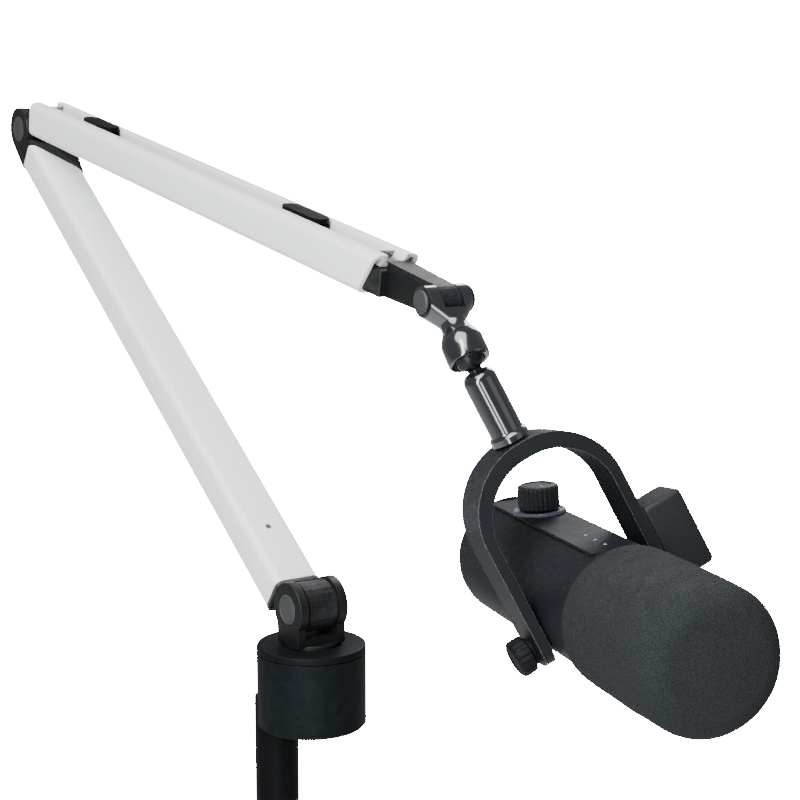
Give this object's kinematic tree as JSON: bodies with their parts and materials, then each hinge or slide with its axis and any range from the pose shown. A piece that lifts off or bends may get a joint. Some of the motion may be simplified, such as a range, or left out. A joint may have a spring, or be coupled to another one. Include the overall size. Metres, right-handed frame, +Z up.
{
  "type": "studio microphone on boom arm",
  "caption": "Foam-covered studio microphone in a U-shaped yoke, hung by a ball joint from a folding spring-balanced boom arm with a swivel base and round post.",
  "frame": {"origin": "centre of the flat foot of the post", "axes": "+Z up along the post, +X forward along the arm, +Y along the arm's hinge axes"},
  "size_m": [0.6207, 0.1279, 0.3687],
  "materials": {
    "post_paint": "satin black paint",
    "base_paint": "satin charcoal paint",
    "black_plastic": "satin black plastic",
    "knuckle_black": "satin black glass-filled plastic",
    "white_paint": "satin white powder coat on aluminium",
    "grey_trim": "satin dark grey",
    "nylon": "natural nylon",
    "steel": "plain steel",
    "brass": "plain bearing brass",
    "gloss_tube": "gloss black enamel",
    "dark_steel": "blackened steel",
    "yoke_paint": "satin charcoal powder coat",
    "block_plastic": "satin charcoal plastic",
    "body_paint": "fine-textured charcoal paint",
    "panel_plastic": "satin charcoal plastic",
    "knob_rubber": "black rubber",
    "board": "green solder mask",
    "grille_steel": "black steel mesh",
    "foam": "open-cell charcoal foam"
  },
  "bodies": {
    "base": {"post": "post_paint", "post_foot": "black_plastic", "base_housing": "base_paint", "post_set_screw": "steel", "base_cover": "base_paint", "swivel_sleeve": "brass"},
    "turret": {"turret_fork": "knuckle_black", "swivel_spindle": "steel", "shoulder_axle": "steel", "shoulder_cap_left": "grey_trim", "shoulder_cap_right": "grey_trim", "shoulder_washer_left": "nylon", "shoulder_washer_right": "nylon"},
    "lower_arm": {"lower_hinge_block": "knuckle_black", "lower_profile": "white_paint", "lower_end_rim": "grey_trim", "spring_anchor": "black_plastic", "lower_arm_screw": "steel", "lower_spring": "steel", "lower_spring_rod": "steel", "lower_elbow_block": "knuckle_black", "elbow_axle": "steel", "elbow_cap_left": "grey_trim", "elbow_cap_right": "grey_trim", "elbow_washer_left": "nylon", "elbow_washer_right": "nylon"},
    "upper_arm": {"upper_hinge_block": "knuckle_black", "upper_profile": "white_paint", "cable_clip_rear": "black_plastic", "cable_clip_front": "black_plastic", "upper_spring": "steel", "upper_spring_rod": "steel", "wrist_bracket": "knuckle_black", "wrist_axle": "steel", "wrist_cap_left": "grey_trim", "wrist_cap_right": "black_plastic"},
    "tube": {"upper_tube": "gloss_tube"},
    "collar": {"ball_collar": "gloss_tube"},
    "stem": {"ball_stud": "dark_steel", "lower_tube": "gloss_tube", "stem_bolt": "dark_steel"},
    "yoke_body": {"yoke": "yoke_paint", "pivot_screw_left": "steel", "pivot_screw_right": "steel", "connector_block": "block_plastic", "xlr_insert": "black_plastic"},
    "lock_knob_body": {"lock_knob": "knob_rubber"},
    "microphone": {"body_shell": "body_paint", "top_panel": "panel_plastic", "knob_flange": "grey_trim", "rear_cap": "body_paint", "circuit_board": "board", "transformer": "steel", "grille": "grille_steel", "grille_mount": "black_plastic", "capsule": "steel", "shock_mount": "knob_rubber", "windscreen": "foam"},
    "level_knob_body": {"level_knob": "knob_rubber"}
  },
  "joints": [
    {"name": "base_swivel", "type": "hinge", "parent": "base", "child": "turret", "pos_m": [0.00985, 0.01483, 0.1038], "axis": [0, 0, 1], "continuous": true},
    {"name": "shoulder_tilt", "type": "hinge", "parent": "turret", "child": "lower_arm", "pos_m": [0.00985, 0.01483, 0.1231], "axis": [0, 1, 0], "range_deg": [-18, 45]},
    {"name": "elbow_tilt", "type": "hinge", "parent": "lower_arm", "child": "upper_arm", "pos_m": [-0.31577, 0.01483, 0.35195], "axis": [0, 1, 0], "range_deg": [-115, 3]},
    {"name": "wrist_tilt", "type": "hinge", "parent": "upper_arm", "child": "tube", "pos_m": [0.12424, 0.01483, 0.28773], "axis": [0, 1, 0], "range_deg": [-60, 20]},
    {"name": "collar_swivel", "type": "hinge", "parent": "tube", "child": "collar", "pos_m": [0.14293, 0.01483, 0.2653], "axis": [-0.6401, 0, 0.7683], "range_deg": [-45, 30]},
    {"name": "ball_tilt", "type": "hinge", "parent": "collar", "child": "stem", "pos_m": [0.14293, 0.01483, 0.2653], "axis": [0.5508, 0.6972, 0.4589], "range_deg": [-60, 3]},
    {"name": "yoke_swivel", "type": "hinge", "parent": "stem", "child": "yoke_body", "pos_m": [0.17512, 0.06321, 0.15316], "axis": [-0.2549, -0.3831, 0.8879], "range_deg": [-60, 60]},
    {"name": "mic_tilt", "type": "hinge", "parent": "yoke_body", "child": "microphone", "pos_m": [0.17512, 0.06321, 0.15316], "axis": [0.2195, 0.8713, 0.4389], "range_deg": [-40, 28]},
    {"name": "level_knob_turn", "type": "hinge", "parent": "microphone", "child": "level_knob_body", "pos_m": [0.11894, 0.07346, 0.18446], "axis": [-0.0459, -0.0608, 0.9971], "range_deg": [-140, 140]},
    {"name": "lock_knob_turn", "type": "hinge", "parent": "yoke_body", "child": "lock_knob_body", "pos_m": [0.16748, 0.03289, 0.13789], "axis": [0.2195, 0.8713, 0.4389], "range_deg": [-180, 180]}
  ]
}
